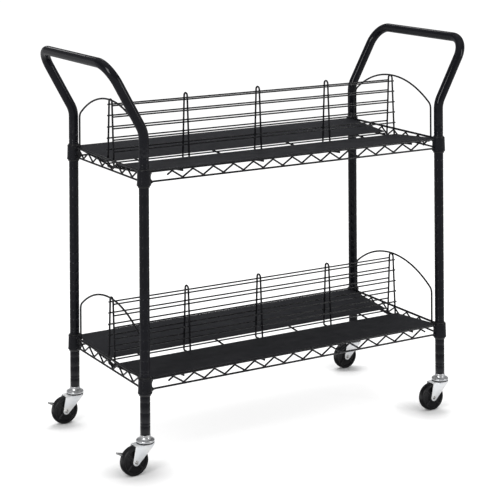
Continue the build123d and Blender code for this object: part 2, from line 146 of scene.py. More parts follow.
def bend_path(pts, radii, step=8.0):
    """Polyline through corner points with each corner turned to an arc (step in degrees)."""
    pts = [np.array(p, float) for p in pts]
    if isinstance(radii, (int, float)):
        radii = [radii] * (len(pts) - 2)
    out = [pts[0]]
    for i in range(1, len(pts) - 1):
        a, c, d = pts[i - 1], pts[i], pts[i + 1]
        u, w = (a - c) / np.linalg.norm(a - c), (d - c) / np.linalg.norm(d - c)
        ang = acos(max(-1, min(1, float(u @ w))))
        turn = pi - ang
        if turn < 1e-4 or radii[i - 1] <= 0:
            out.append(c)
            continue
        r = radii[i - 1]
        tl = r * tan(turn / 2)
        p0, p1 = c + u * tl, c + w * tl
        bis = (u + w) / np.linalg.norm(u + w)
        cen = c + bis * (r / cos(turn / 2))
        e0 = (p0 - cen) / r
        e1 = (p1 - cen) / r
        k = max(2, int(math.ceil(math.degrees(turn) / step)))
        so = sin(turn)
        for j in range(k + 1):
            s = j / k
            out.append(cen + r * (sin((1 - s) * turn) * e0 + sin(s * turn) * e1) / so)
    out.append(pts[-1])
    return out


def lathe(b, prof, n=48, centre=(0, 0, 0), axis="Z", a0=0.0, a1=360.0, closed=True, smooth_caps=True):
    """Turned shape from (radius, height) points; closed joins last to first."""
    full = abs(a1 - a0 - 360.0) < 1e-6
    cnt = n if full else n + 1
    verts, faces = [], []
    for k in range(cnt):
        a = radians(a0 + (a1 - a0) * k / n)
        for r, h in prof:
            x, y, z = r * cos(a), r * sin(a), h
            if axis == "Y":
                x, y, z = x, h, -y
            verts.append((x + centre[0], y + centre[1], z + centre[2]))
    m = len(prof)
    pairs = [(i, i + 1) for i in range(m - 1)] + ([(m - 1, 0)] if closed else [])
    for k in range(n if full else n):
        k2 = (k + 1) % cnt
        for i, j in pairs:
            faces.append((k * m + i, k2 * m + i, k2 * m + j, k * m + j))
    if not full:
        faces.append(tuple(range(m)))
        faces.append(tuple((cnt - 1) * m + i for i in range(m))[::-1])
    b.add(verts, faces)


def nugget(b, c, r, flat=(1, 1, 1), n=8, rings=4):
    """Small weld bead."""
    verts, faces = [], []
    verts.append((c[0], c[1], c[2] + r * flat[2]))
    for i in range(1, rings):
        t = pi * i / rings
        for k in range(n):
            a = 2 * pi * k / n
            verts.append((c[0] + r * flat[0] * sin(t) * cos(a), c[1] + r * flat[1] * sin(t) * sin(a), c[2] + r * flat[2] * cos(t)))
    verts.append((c[0], c[1], c[2] - r * flat[2]))
    last = len(verts) - 1
    for k in range(n):
        k2 = (k + 1) % n
        faces.append((0, 1 + k, 1 + k2))
        for i in range(rings - 2):
            faces.append((1 + i * n + k, 1 + (i + 1) * n + k, 1 + (i + 1) * n + k2, 1 + i * n + k2))
        faces.append((last, 1 + (rings - 2) * n + k2, 1 + (rings - 2) * n + k))
    b.add(verts, faces)


def prism(b, outline, lo, hi, plane="XZ"):
    """Straight extrusion of a 2-D outline."""
    n = len(outline)
    def put(u, w, h):
        return {"XZ": (u, h, w), "XY": (u, w, h), "YZ": (h, u, w)}[plane]
    verts = [put(u, w, lo) for u, w in outline] + [put(u, w, hi) for u, w in outline]
    faces = [tuple(range(n))[::-1], tuple(range(n, 2 * n))]
    for i in range(n):
        j = (i + 1) % n
        faces.append((i, j, n + j, n + i))
    b.add(verts, faces)


def arc2(cx, cy, r, a0, a1, k):
    return [(cx + r * cos(radians(a0 + (a1 - a0) * i / k)), cy + r * sin(radians(a0 + (a1 - a0) * i / k))) for i in range(k + 1)]


def piece(name, b, mat, body, nodes=(), bevel=0.0, bevel_angle=40.0, segs=2, sharp=35.0, weighted=False):
    me = bpy.data.meshes.new(name)
    me.from_pydata([(x * MM, y * MM, z * MM) for x, y, z in b.v], [], b.f)
    bm = bmesh.new()
    bm.from_mesh(me)
    bmesh.ops.remove_doubles(bm, verts=bm.verts, dist=2e-6)
    bmesh.ops.recalc_face_normals(bm, faces=bm.faces)
    if bevel > 0:
        lim = radians(bevel_angle)
        edges = [e for e in bm.edges if len(e.link_faces) == 2 and e.calc_face_angle(0) > lim]
        bmesh.ops.bevel(bm, geom=edges, offset=bevel * MM, offset_type="OFFSET", segments=segs, profile=0.5, affect="EDGES", clamp_overlap=True)
    bm.to_mesh(me)
    bm.free()
    for p in me.polygons:
        p.use_smooth = True
    me.set_sharp_from_angle(angle=radians(sharp))
    o = bpy.data.objects.new(name, me)
    bpy.context.scene.collection.objects.link(o)
    me.materials.append(mat)
    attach(o, body)
    if nodes:
        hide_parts(*nodes)
    return o


# ------------------------------------------------------------------ materials
class Nodes:
    def __init__(self, name):
        self.mat = bpy.data.materials.new(name)
        self.mat.use_nodes = True
        self.t = self.mat.node_tree
        self.t.nodes.clear()
        self.out = self.t.nodes.new("ShaderNodeOutputMaterial")
        self.bsdf = self.t.nodes.new("ShaderNodeBsdfPrincipled")
        self.t.links.new(self.bsdf.outputs[0], self.out.inputs[0])
        self.coord = self.t.nodes.new("ShaderNodeTexCoord").outputs["Object"]

    def n(self, kind, **kw):
        node = self.t.nodes.new(kind)
        for k, v in kw.items():
            setattr(node, k, v)
        return node

    def link(self, a, b):
        self.t.links.new(a, b)

    def put(self, sock, v):
        if hasattr(v, "is_output") or isinstance(v, bpy.types.NodeSocket):
            self.t.links.new(v, sock)
        else:
            sock.default_value = v

    def scaled(self, s):
        m = self.n("ShaderNodeMapping")
        self.link(self.coord, m.inputs["Vector"])
        m.inputs["Scale"].default_value = s
        return m.outputs[0]

    def noise(self, scale, detail=3.0, rough=0.55, vec=None, distortion=0.0):
        x = self.n("ShaderNodeTexNoise")
        self.link(vec or self.coord, x.inputs["Vector"])
        x.inputs["Scale"].default_value = scale
        x.inputs["Detail"].default_value = detail
        x.inputs["Roughness"].default_value = rough
        x.inputs["Distortion"].default_value = distortion
        return x.outputs["Fac"]

    def voronoi(self, scale, feature="F1", vec=None, out="Distance"):
        x = self.n("ShaderNodeTexVoronoi", feature=feature)
        self.link(vec or self.coord, x.inputs["Vector"])
        x.inputs["Scale"].default_value = scale
        return x.outputs[out]

    def ramp(self, fac, stops):
        x = self.n("ShaderNodeValToRGB")
        self.link(fac, x.inputs[0])
        e = x.color_ramp.elements
        while len(e) < len(stops):
            e.new(0.5)
        for i, (p, c) in enumerate(stops):
            e[i].position = p
            e[i].color = c if isinstance(c, tuple) else (c, c, c, 1)
        return x.outputs["Color"]

    def math(self, op, a, b=0.0, clamp=False):
        x = self.n("ShaderNodeMath", operation=op, use_clamp=clamp)
        self.put(x.inputs[0], a)
        self.put(x.inputs[1], b)
        return x.outputs[0]

    def mix(self, fac, a, b):
        x = self.n("ShaderNodeMix", data_type="RGBA")
        self.put(x.inputs[0], fac)
        self.put(x.inputs[6], a)
        self.put(x.inputs[7], b)
        return x.outputs[2]

    def range(self, v, lo, hi, a=0.0, b=1.0):
        x = self.n("ShaderNodeMapRange")
        self.link(v, x.inputs[0])
        x.inputs[1].default_value, x.inputs[2].default_value = lo, hi
        x.inputs[3].default_value, x.inputs[4].default_value = a, b
        return x.outputs[0]

    def up(self, lo=0.5, hi=0.95):
        g = self.n("ShaderNodeNewGeometry")
        s = self.n("ShaderNodeSeparateXYZ")
        self.link(g.outputs["Normal"], s.inputs[0])
        return self.range(s.outputs[2], lo, hi)

    def edge(self, lo=0.52, hi=0.6):
        g = self.n("ShaderNodeNewGeometry")
        return self.range(g.outputs["Pointiness"], lo, hi)

    def bump(self, height, strength, dist, normal=None):
        x = self.n("ShaderNodeBump")
        x.inputs["Strength"].default_value = strength
        x.inputs["Distance"].default_value = dist
        self.link(height, x.inputs["Height"])
        if normal is not None:
            self.link(normal, x.inputs["Normal"])
        return x.outputs[0]

    def done(self, color, rough, metallic=0.0, normal=None, spec=None, coat=None, aniso=None):
        i = self.bsdf.inputs
        self.put(i["Base Color"], color)
        self.put(i["Roughness"], rough)
        self.put(i["Metallic"], metallic)
        if normal is not None:
            self.link(normal, i["Normal"])
        if spec is not None:
            self.put(i["Specular IOR Level"], spec)
        if coat is not None:
            i["Coat Weight"].default_value = coat[0]
            i["Coat Roughness"].default_value = coat[1]
        if aniso is not None:
            i["Anisotropic"].default_value = aniso
        return self.mat


def powder_coat(name, orange=1.0, tone=0.75, r0=0.07, r1=0.12, spec=0.27):
    m = Nodes(name)
    big = m.noise(18.0, 3.0)
    col = m.mix(m.range(big, 0.35, 0.65), (0.0060 * tone, 0.0062 * tone, 0.0086 * tone, 1), (0.0096 * tone, 0.0098 * tone, 0.0132 * tone, 1))
    speck = m.range(m.voronoi(900.0), 0.0, 0.08, 1.0, 0.0)
    col = m.mix(m.math("MULTIPLY", speck, 0.30), col, (0.026, 0.026, 0.029, 1))
    dust = m.math("MULTIPLY", m.up(0.55, 1.0), m.range(m.noise(60.0, 5.0, 0.65), 0.42, 0.8, 0.0, 0.10))
    col = m.mix(dust, col, (0.16, 0.155, 0.15, 1))
    wear = m.math("MULTIPLY", m.edge(0.545, 0.63), m.range(m.noise(140.0, 4.0, 0.7), 0.48, 0.66, 0.0, 0.5))
    col = m.mix(wear, col, (0.07, 0.07, 0.072, 1))
    rough = m.math("ADD", m.range(m.noise(35.0, 4.0, 0.6), 0.3, 0.7, r0, r1), m.math("MULTIPLY", dust, 0.8))
    h = m.math("ADD", m.math("MULTIPLY", m.noise(1400.0, 2.0, 0.5), 0.55), m.noise(420.0, 2.0, 0.5))
    nrm = m.bump(h, 0.05 * orange, 0.00035)
    return m.done(col, rough, 0.0, nrm, spec=spec)


def liner_mat():
    m = Nodes("mat_charcoal_liner")
    tone = m.range(m.noise(4.0, 3.0, 0.5), 0.3, 0.7)
    col = m.mix(tone, (0.0215, 0.0220, 0.0250, 1), (0.0270, 0.0276, 0.0308, 1))
    grain = m.voronoi(820.0)
    col = m.mix(m.range(grain, 0.15, 0.6, 0.0, 0.45), col, (0.0112, 0.0115, 0.0132, 1))
    # rubbed lanes where book spines slide in and out
    rub = m.noise(7.0, 5.0, 0.62, vec=m.scaled((14.0, 1.6, 1.0)))
    scuff = m.range(rub, 0.60, 0.74, 0.0, 0.22)
    col = m.mix(scuff, col, (0.034, 0.035, 0.038, 1))
    fine = m.range(m.noise(30.0, 6.0, 0.75, vec=m.scaled((40.0, 3.0, 3.0))), 0.62, 0.70, 0.0, 0.18)
    col = m.mix(fine, col, (0.044, 0.045, 0.047, 1))
    dust = m.range(m.noise(240.0, 6.0, 0.8), 0.60, 0.80, 0.0, 0.16)
    col = m.mix(dust, col, (0.070, 0.069, 0.068, 1))
    wear = m.math("MULTIPLY", m.edge(0.53, 0.62), 0.35)
    col = m.mix(wear, col, (0.10, 0.10, 0.10, 1))
    rough = m.math("SUBTRACT", m.range(m.noise(22.0, 4.0), 0.3, 0.7, 0.50, 0.62), m.math("MULTIPLY", scuff, 0.4))
    h = m.math("ADD", m.math("MULTIPLY", grain, 0.9), m.math("MULTIPLY", m.noise(1900.0, 2.0), 0.5))
    nrm = m.bump(h, 0.35, 0.00028)
    nrm = m.bump(m.noise(9.0, 2.0), 0.10, 0.006, normal=nrm)
    return m.done(col, rough, 0.0, nrm, spec=0.06)


def zinc_mat(name="mat_bright_zinc", base=0.78, r0=0.24, r1=0.40, metal=0.62):
    m = Nodes(name)
    tone = m.range(m.noise(45.0, 4.0, 0.6), 0.3, 0.7)
    col = m.mix(tone, (base * 0.93, base * 0.955, base * 0.985, 1), (base * 1.03, base * 1.03, base * 1.02, 1))
    warm = m.range(m.noise(22.0, 2.0), 0.55, 0.8, 0.0, 0.25)
    col = m.mix(warm, col, (base * 1.0, base * 0.95, base * 0.84, 1))
    spangle = m.voronoi(520.0, out="Color")
    sep = m.n("ShaderNodeSeparateColor")
    m.link(spangle, sep.inputs[0])
    sp = sep.outputs[0]
    col = m.mix(m.math("MULTIPLY", sp, 0.10), col, (base * 0.72, base * 0.75, base * 0.80, 1))
    scratch = m.range(m.noise(60.0, 6.0, 0.8, vec=m.scaled((3.0, 3.0, 55.0))), 0.62, 0.72, 0.0, 0.5)
    col = m.mix(m.math("MULTIPLY", scratch, 0.20), col, (0.42, 0.42, 0.43, 1))
    grime = m.range(m.noise(90.0, 5.0, 0.7), 0.62, 0.80, 0.0, 0.09)
    col = m.mix(grime, col, (0.36, 0.35, 0.33, 1))
    rough = m.math("ADD", m.range(m.noise(55.0, 4.0, 0.6), 0.3, 0.7, r0, r1), m.math("MULTIPLY", scratch, 0.15))
    h = m.math("ADD", m.math("MULTIPLY", sp, 0.25), m.noise(700.0, 3.0))
    nrm = m.bump(h, 0.10, 0.0002)
    return m.done(col, rough, metal, nrm)


def wheel_mat():
    m = Nodes("mat_wheel_rubber")
    col = m.mix(m.range(m.noise(60.0, 4.0), 0.3, 0.7), (0.0034, 0.0034, 0.0042, 1), (0.0062, 0.0062, 0.0074, 1))
    dust = m.range(m.noise(260.0, 6.0, 0.75), 0.56, 0.82, 0.0, 0.07)
    col = m.mix(dust, col, (0.08, 0.078, 0.075, 1))
    wear = m.math("MULTIPLY", m.edge(0.52, 0.60), 0.35)
    col = m.mix(wear, col, (0.045, 0.045, 0.048, 1))
    rough = m.range(m.noise(80.0, 4.0), 0.3, 0.7, 0.34, 0.44)
    h = m.math("ADD", m.noise(900.0, 3.0, 0.6), m.math("MULTIPLY", m.noise(130.0, 2.0), 0.6))
    return m.done(col, rough, 0.0, m.bump(h, 0.22, 0.00025), spec=0.50)


def plastic_mat(name, c=0.008, r0=0.36, r1=0.5):
    m = Nodes(name)
    col = m.mix(m.range(m.noise(70.0, 4.0), 0.3, 0.7), (c * 0.8, c * 0.8, c * 0.85, 1), (c * 1.4, c * 1.4, c * 1.5, 1))
    wear = m.math("MULTIPLY", m.edge(0.53, 0.62), 0.4)
    col = m.mix(wear, col, (0.045, 0.045, 0.046, 1))
    rough = m.range(m.noise(120.0, 4.0), 0.3, 0.7, r0, r1)
    h = m.math("ADD", m.noise(1500.0, 2.0), m.math("MULTIPLY", m.noise(200.0, 3.0), 0.5))
    return m.done(col, rough, 0.0, m.bump(h, 0.2, 0.0002))


def steel_mat(name, c=(0.58, 0.57, 0.55), r0=0.28, r1=0.42):
    m = Nodes(name)
    col = m.mix(m.range(m.noise(150.0, 4.0), 0.3, 0.7), (c[0] * 0.85, c[1] * 0.85, c[2] * 0.85, 1), (c[0], c[1], c[2], 1))
    grime = m.range(m.noise(300.0, 5.0, 0.7), 0.55, 0.75, 0.0, 0.4)
    col = m.mix(grime, col, (0.16, 0.15, 0.14, 1))
    rough = m.range(m.noise(200.0, 4.0), 0.3, 0.7, r0, r1)
    return m.done(col, rough, 1.0, m.bump(m.noise(900.0, 3.0), 0.15, 0.0002))


COAT = powder_coat("mat_black_powder_coat")
WIRE = powder_coat("mat_black_wire_coat", orange=0.7, tone=0.5, r0=0.16, r1=0.24, spec=0.40)
CAST = powder_coat("mat_black_cast_coat", orange=2.6, tone=0.8, r0=0.22, r1=0.32)
LINER = liner_mat()
ZINC = zinc_mat("mat_bright_zinc", 0.94, 0.28, 0.42, 0.42)
ZINC_CAP = zinc_mat("mat_zinc_cap", 0.80, 0.28, 0.36, 0.84)
ZINC_TAB = zinc_mat("mat_zinc_tab", 0.50, 0.26, 0.40, 0.80)
RIVET = steel_mat("mat_rivet_steel", (0.78, 0.77, 0.74), 0.22, 0.34)
BRASS = steel_mat("mat_sintered_brass", (0.62, 0.46, 0.22), 0.35, 0.5)
# near-black seal material: painted shade for the dark ball-race gap under each cap
SEAL_PAINTED_SHADE = plastic_mat("mat_black_seal_painted_shade", 0.006, 0.45, 0.6)
SLEEVE = plastic_mat("mat_black_sleeve", 0.010)
WHEEL = wheel_mat()

# ------------------------------------------------------------------ posts
def groove_marks():
    z, out, n = 759.0, [], 0
    while z - 10 >= 95.0:
        out.append(z)
        if n % 5 == 0:
            out.append(z - 7.0)
        z -= 25.4
        n += 1
    return sorted(out)


def post_profile():
    r = 12.7
    p = [(r - 1.5, 95.0), (r - 0.9, 95.0), (r - 0.25, 95.25), (r, 95.9)]
    for z in groove_marks():
        p += [(r, z - 1.7), (r - 0.10, z - 1.15), (r - 0.42, z - 0.55), (r - 0.62, z), (r - 0.42, z + 0.55), (r - 0.10, z + 1.15), (r, z + 1.7)]
    p += [(r, 774.1), (r - 0.25, 774.7), (r - 0.8, 774.95), (r - 1.5, 774.95)]
    return p


for name, (sx, sy) in CORNERS.items():
    b = Build()
    lathe(b, post_profile(), 56, (sx * POST_X, sy * POST_Y, 0))
    piece(f"post_tube_{name}", b, COAT, "cart_frame", [f"post_{name}"], sharp=50)

# ------------------------------------------------------------------ handles
def handle_path(sx):
    hx, hz, tilt = 548.0, 1009.5, 29.2
    corner = hz - (hx - POST_X) / tan(radians(tilt))
    pts = [(POST_X, -POST_Y, 775.0), (POST_X, -POST_Y, corner), (hx, -POST_Y, hz), (hx, POST_Y, hz), (POST_X, POST_Y, corner), (POST_X, POST_Y, 775.0)]
    pts = [(sx * x, y, z) for x, y, z in pts]
    return bend_path(pts, [65.0, 57.0, 57.0, 65.0], step=3.0)


for side, sx in (("left", -1), ("right", 1)):
    b = Build()
    path = handle_path(sx)
    tube(b, path, 12.7, n=40, chamfer=False, r_in=11.2)
    # rolled lips where the legs meet the posts
    for sy in (-1, 1):
        lathe(b, [(11.6, 775.05), (12.55, 775.05), (12.78, 775.5), (12.78, 776.6), (12.6, 777.2), (11.6, 777.2)], 56, (sx * POST_X, sy * POST_Y, 0))
    piece(f"push_handle_{side}", b, COAT, "cart_frame", [f"handle_{side}"], sharp=50)


# ------------------------------------------------------------------ shelves
def cone_r(dz):
    return 16.5 + (17.6 - 16.5) * (6.0 - dz) / 39.0


def deck(y, above=0.0):
    return -22.5 + SLOPE * abs(y) + above * Q


def zz_points(peaks):
    hi, lo, half = -4.0, -21.8, 29.3
    bend = 3.0
    a = atan2(hi - lo, half)
    rise = bend * (1 / cos(a) - 1)
    stub = 14.0
    end = hi - stub * (hi - lo) / half
    pts = [(peaks[0] - stub, end)]
    for i, p in enumerate(peaks):
        pts.append((p, hi + rise))
        if i < len(peaks) - 1:
            pts.append((p + half, lo - rise))
    pts.append((peaks[-1] + stub, end))
    return pts


def rounded_liner(b, sy, z):
    """Panel on the deck wires: a grid skin with eased edges, notched corners and a barely uneven surface."""
    lift0 = 6.56
    y0, y1, X, T = (21.3 if sy < 0 else 28.5), 208.5, 443.4, 2.0 * Q
    rc = 19.0
    # plan outline with corner notches, as rows across Y
    xs = np.concatenate([[-X, -X + 0.6], np.linspace(-X + 8, -POST_X + rc + 0.5, 5), np.linspace(-POST_X + rc + 14, POST_X - rc - 14, 62), np.linspace(POST_X - rc - 0.5, X - 8, 5), [X - 0.6, X]])
    ny = 15
    def y_out(x):
        d = abs(abs(x) - POST_X)
        if d < rc:
            return min(y1, POST_Y - sqrt(rc * rc - d * d))
        return y1
    rng = np.random.default_rng(7 if sy < 0 else 11)
    ph = rng.uniform(0, 2 * pi, 6)
    def wave(x, y):
        return 0.16 * sin(x / 61.0 + ph[0]) * cos(y / 37.0 + ph[1]) + 0.10 * sin(x / 23.0 + ph[2] + y / 51.0)
    verts, faces = [], []
    cols = []
    for x in xs:
        yo = y_out(x)
        ys = [y0, y0 + 0.6] + list(np.linspace(y0 + 8, yo - 8, ny)) + [yo - 0.6, yo]
        col_t, col_b = [], []
        for j, y in enumerate(ys):
            ex = 0.0
            if j in (0, len(ys) - 1) or abs(x) > X - 0.1:
                ex = 0.55
            base = z + deck(y, lift0)
            w = wave(x, y) if 1 < j < len(ys) - 2 and abs(x) < X - 4 else 0.0
            yy = sy * y
            col_t.append(len(verts)); verts.append((x, yy, base + T - ex + w))
            col_b.append(len(verts)); verts.append((x, yy, base + ex * 0.5))
        cols.append((col_t, col_b))
    m = len(cols[0][0])
    for i in range(len(cols) - 1):
        (t0, b0), (t1, b1) = cols[i], cols[i + 1]
        for j in range(m - 1):
            faces.append((t0[j], t1[j], t1[j + 1], t0[j + 1]))
            faces.append((b0[j], b0[j + 1], b1[j + 1], b1[j]))
        faces.append((t0[0], b0[0], b1[0], t1[0]))
        faces.append((t0[-1], t1[-1], b1[-1], b0[-1]))
    for (t, bb) in (cols[0], cols[-1]):
        for j in range(m - 1):
            faces.append((t[j], t[j + 1], bb[j + 1], bb[j]))
    b.add(verts, faces)


MAT_SHIFT = 7.3
LONG_PEAKS = [29.3 * (2 * i - 13) + MAT_SHIFT for i in range(14)]
END_PEAKS = [29.3 * 2 * (i - 3) for i in range(7)]
CROSS_X = (117.3, 352.0)
DIV_X = (-441.5, -222.0, 0.0, 222.0, 441.5)
RAILS = (138.0, 109.0, 79.0, 50.0, 20.0)
DECK_ROWS = sorted(s * (22.45 + 25.8 * i) for i in range(8) for s in (-1, 1))


def leg_half(dz):
    return 9.0 + (153.0 - 12.0 - dz) * 9.0 / (153.0 - 12.0 + 18.0)


def uneven(i, k=0.0):
    """Repeatable small offset for weld beads."""
    return ((i * 7919 + 104729 * (k + 1)) % 1000) / 1000.0 - 0.5


for level, z in SHELF.items():
    body = "cart_frame"

    b = Build()
    e = cone_r(-3.0) - 0.6
    for s in (-1, 1):
        tube(b, [(-POST_X + e, s * POST_Y, z), (POST_X - e, s * POST_Y, z)], 3.0, 18)
        tube(b, [(s * POST_X, -POST_Y + e, z), (s * POST_X, POST_Y - e, z)], 3.0, 18)
    piece(f"{level}_top_rim", b, WIRE, body, [f"{level}_rim_top_wires"])

    b = Build()
    e = cone_r(-25.0) - 0.6
    zb = z - 25.0
    for s in (-1, 1):
        tube(b, [(-POST_X + e, s * POST_Y, zb), (POST_X - e, s * POST_Y, zb)], 2.5, 16)
        tube(b, [(s * POST_X, -POST_Y + e, zb), (s * POST_X, POST_Y - e, zb)], 2.5, 16)
    piece(f"{level}_bottom_rim", b, WIRE, body, [f"{level}_rim_bottom_wires"])

    # zigzag trusses with their weld beads
    b = Build()
    for s in (-1, 1):
        y = s * POST_Y
        tube(b, bend_path([(u, y, z + w) for u, w in zz_points(LONG_PEAKS)], 3.0, step=11), 2.3, 12)
        for i, p in enumerate(LONG_PEAKS):
            nugget(b, (p, s * POST_Y, z - 2.7), 2.75, (1.3, 0.95, 0.6))
            if i < 13:
                nugget(b, (p + 29.3, s * POST_Y, z - 23.0), 2.5, (1.3, 0.95, 0.6))
        x = s * POST_X
        tube(b, bend_path([(x, u, z + w) for u, w in zz_points(END_PEAKS)], 3.0, step=11), 2.3, 12)
        for i, p in enumerate(END_PEAKS):
            nugget(b, (s * POST_X, p, z - 2.7), 2.75, (0.95, 1.3, 0.6))
            if i < 6:
                nugget(b, (s * POST_X, p + 29.3, z - 23.0), 2.5, (0.95, 1.3, 0.6))
    piece(f"{level}_zigzag_truss", b, WIRE, body, [f"{level}_truss_zigzags"])

    # cross wires
    b = Build()
    yo = POST_Y + 1.8
    for x in CROSS_X:
        for s in (-1, 1):
            u = s * x + MAT_SHIFT
            tube(b, bend_path([(u, -yo, z + deck(yo)), (u, 0, z + deck(0)), (u, yo, z + deck(yo))], 15.0, step=2), 2.5, 16)
            for t in (-1, 1):
                nugget(b, (u, t * (POST_Y - 0.5), z - 3.3), 2.4, (0.9, 1.2, 0.8))
    for s in (-1, 1):
        x = s * 436.0
        ye = 191.0
        tube(b, bend_path([(x, -ye, z + deck(ye)), (x, 0, z + deck(0)), (x, ye, z + deck(ye))], 15.0, step=2), 2.5, 16)
    piece(f"{level}_cross_bars", b, WIRE, body, [f"{level}_cross_wires"])

    # lengthwise deck wires, with a bead at each crossing
    b = Build()
    for y in DECK_ROWS:
        zz = z + deck(y, 4.53)
        x = 429.0 if abs(y) > 190 else 445.0
        tube(b, [(-x, y, zz), (x, y, zz)], 2.0, 12)
        for xc in (-436.0, -352.0 + MAT_SHIFT, -117.3 + MAT_SHIFT, 117.3 + MAT_SHIFT, 352.0 + MAT_SHIFT, 436.0):
            if abs(xc) < x:
                nugget(b, (xc, y, zz - 2.2), 1.9, (1.15, 1.15, 0.7), 8, 4)
    piece(f"{level}_deck_rods", b, WIRE, body, [f"{level}_deck_wires"])

    for part, sy in (("front", -1), ("rear", 1)):
        b = Build()
        rounded_liner(b, sy, z)
        piece(f"{level}_liner_panel_{part}", b, LINER, body, [f"{level}_liner_{part}"], sharp=60)

    # corner collars: tapered casting, parting seam, webs to the rim wires
    b = Build()
    for name, (sx, sy) in CORNERS.items():
        c = (sx * POST_X, sy * POST_Y, z)
        t0, b0 = 16.5, 17.6
        prof = [(t0 - 1.9, 5.9), (t0 - 1.0, 6.0), (t0 - 0.45, 5.75), (t0 - 0.1, 5.1), (t0, 4.2), (cone_r(-6) , -6.0), (cone_r(-20), -20.0),
                (b0, -31.0), (b0 - 0.15, -32.0), (b0 - 0.6, -32.8), (b0 - 1.1, -33.0), (b0 - 1.9, -33.0)]
        lathe(b, prof, 56, c)
        # raised bands at the top and bottom lips
        lathe(b, [(16.1, 5.0), (16.9, 4.8), (17.05, 4.3), (17.05, 2.4), (16.9, 1.9), (16.2, 1.7)], 56, c)
        lathe(b, [(17.1, -28.6), (17.85, -28.8), (18.0, -29.3), (18.0, -31.5), (17.85, -32.0), (17.1, -32.2)], 56, c)
        # parting seams
        for ang in (45, 225):
            a = radians(ang + (0 if sx * sy > 0 else 90))
            ux, uy = cos(a), sin(a)
            px, py = -uy, ux
            def seam(r, w, h):
                return (c[0] + ux * r + px * w, c[1] + uy * r + py * w, c[2] + h)
            vs = []
            for h in (5.0, -32.0):
                r = cone_r(h)
                vs += [seam(r - 0.4, -0.8, h), seam(r + 0.45, -0.35, h), seam(r + 0.45, 0.35, h), seam(r - 0.4, 0.8, h)]
            b.add(vs, [(0, 1, 5, 4), (1, 2, 6, 5), (2, 3, 7, 6), (3, 0, 4, 7), (0, 3, 2, 1), (4, 5, 6, 7)])
        # webs
        for axis in ("x", "y"):
            def w3(r, t, h):
                return (c[0] - sx * r, c[1] + t, c[2] + h) if axis == "x" else (c[0] + t, c[1] - sy * r, c[2] + h)
            shapes = [
                ([(15.6, -3.2), (21.6, -3.2), (19.8, -5.2), (18.9, -9.0), (18.5, -14.0), (18.9, -18.4), (19.9, -20.8), (22.0, -22.5), (15.6, -22.5)], 1.5),
                ([(16.3, -27.2), (25.6, -27.2), (22.9, -28.1), (20.6, -29.6), (19.2, -31.2), (18.4, -32.8), (16.3, -32.8)], 1.8),
            ]
            for outline, half in shapes:
                n = len(outline)
                vs = [w3(r, -half * 0.62, h) for r, h in outline] + [w3(r, half * 0.62, h) for r, h in outline]
                # a swollen mid line so that the web isn't a flat plate
                cr = sum(r for r, h in outline) / n
                ch = sum(h for r, h in outline) / n
                k0 = [w3(r + (cr - r) * 0.22, -half, h + (ch - h) * 0.22) for r, h in outline]
                k1 = [w3(r + (cr - r) * 0.22, half, h + (ch - h) * 0.22) for r, h in outline]
                fs = []
                for i in range(n):
                    j = (i + 1) % n
                    fs += [(i, j, n + j, n + i), (i, 2 * n + i, 2 * n + j, j), (n + i, n + j, 3 * n + j, 3 * n + i)]
                fs += [tuple(2 * n + i for i in range(n)), tuple(3 * n + i for i in range(n))[::-1]]
                b.add(vs + k0 + k1, fs)
            # fillet weld at each wire's root
            for r, h, rr in ((cone_r(0) + 0.6, 0.0, 3.9), (cone_r(-25) + 0.6, -25.0, 3.3)):
                p = w3(r, 0, h)
                nugget(b, p, rr, (0.55, 1, 1) if axis == "x" else (1, 0.55, 1), 12, 6)
    piece(f"{level}_cast_collars", b, CAST, body, [f"{level}_corner_collars"], sharp=38)

    # split sleeves
    b = Build()
    g = 759.0 - 25.4 * round((759.0 - z + 4.0) / 25.4) - z
    for name, (sx, sy) in CORNERS.items():
        c = (sx * POST_X, sy * POST_Y, z)
        prof = [(12.76, 8.0), (13.9, 8.0), (14.3, 7.75), (14.52, 7.3), (14.55, 6.0), (15.65, -33.0), (15.15, -33.5), (15.15, -36.0), (14.9, -36.7), (14.2, -37.3), (13.2, -37.5), (12.76, -37.5), (12.76, g - 0.8), (12.32, g), (12.76, g + 0.8)]
        for a0 in (1.2, 181.2):
            lathe(b, prof, 24, c, a0=a0 + 45, a1=a0 + 177.6 + 45)
    piece(f"{level}_sleeve_halves", b, SLEEVE, body, [f"{level}_split_sleeves"], sharp=40)

    # divider
    b = Build()
    foot = deck(0, 4.53) + 0.1 - 2.0 - 2.5 - 0.03
    for x in DIV_X:
        h0, h1 = leg_half(foot), leg_half(153.0)
        pts = [(x, 0, z + foot), (x, h0, z + foot), (x, h1, z + 153.0), (x, -h1, z + 153.0), (x, -h0, z + foot), (x, 0, z + foot)]
        tube(b, bend_path(pts, [4.0, 8.2, 8.2, 4.0], step=9), 2.5, 16, chamfer=False)
        for t in (-1, 1):
            nugget(b, (x, t * 20.5, z + deck(22.45, 4.53) + 0.6), 2.3, (1.35, 0.8, 1.0))
    piece(f"{level}_divider_hairpins", b, WIRE, body, [f"{level}_divider_uprights"])
    b = Build()
    for k, dz in enumerate(RAILS):
        y = leg_half(dz) + 4.5 * 1.0016 + 0.03
        for s in (-1, 1):
            tube(b, [(-444.0, s * y, z + dz), (444.0, s * y, z + dz)], 2.0, 12)
            for x in DIV_X:
                nugget(b, (x, s * (y - 1.9), z + dz), 1.9, (1.3, 0.8, 1.15))
    piece(f"{level}_divider_rods", b, WIRE, body, [f"{level}_divider_rails"])

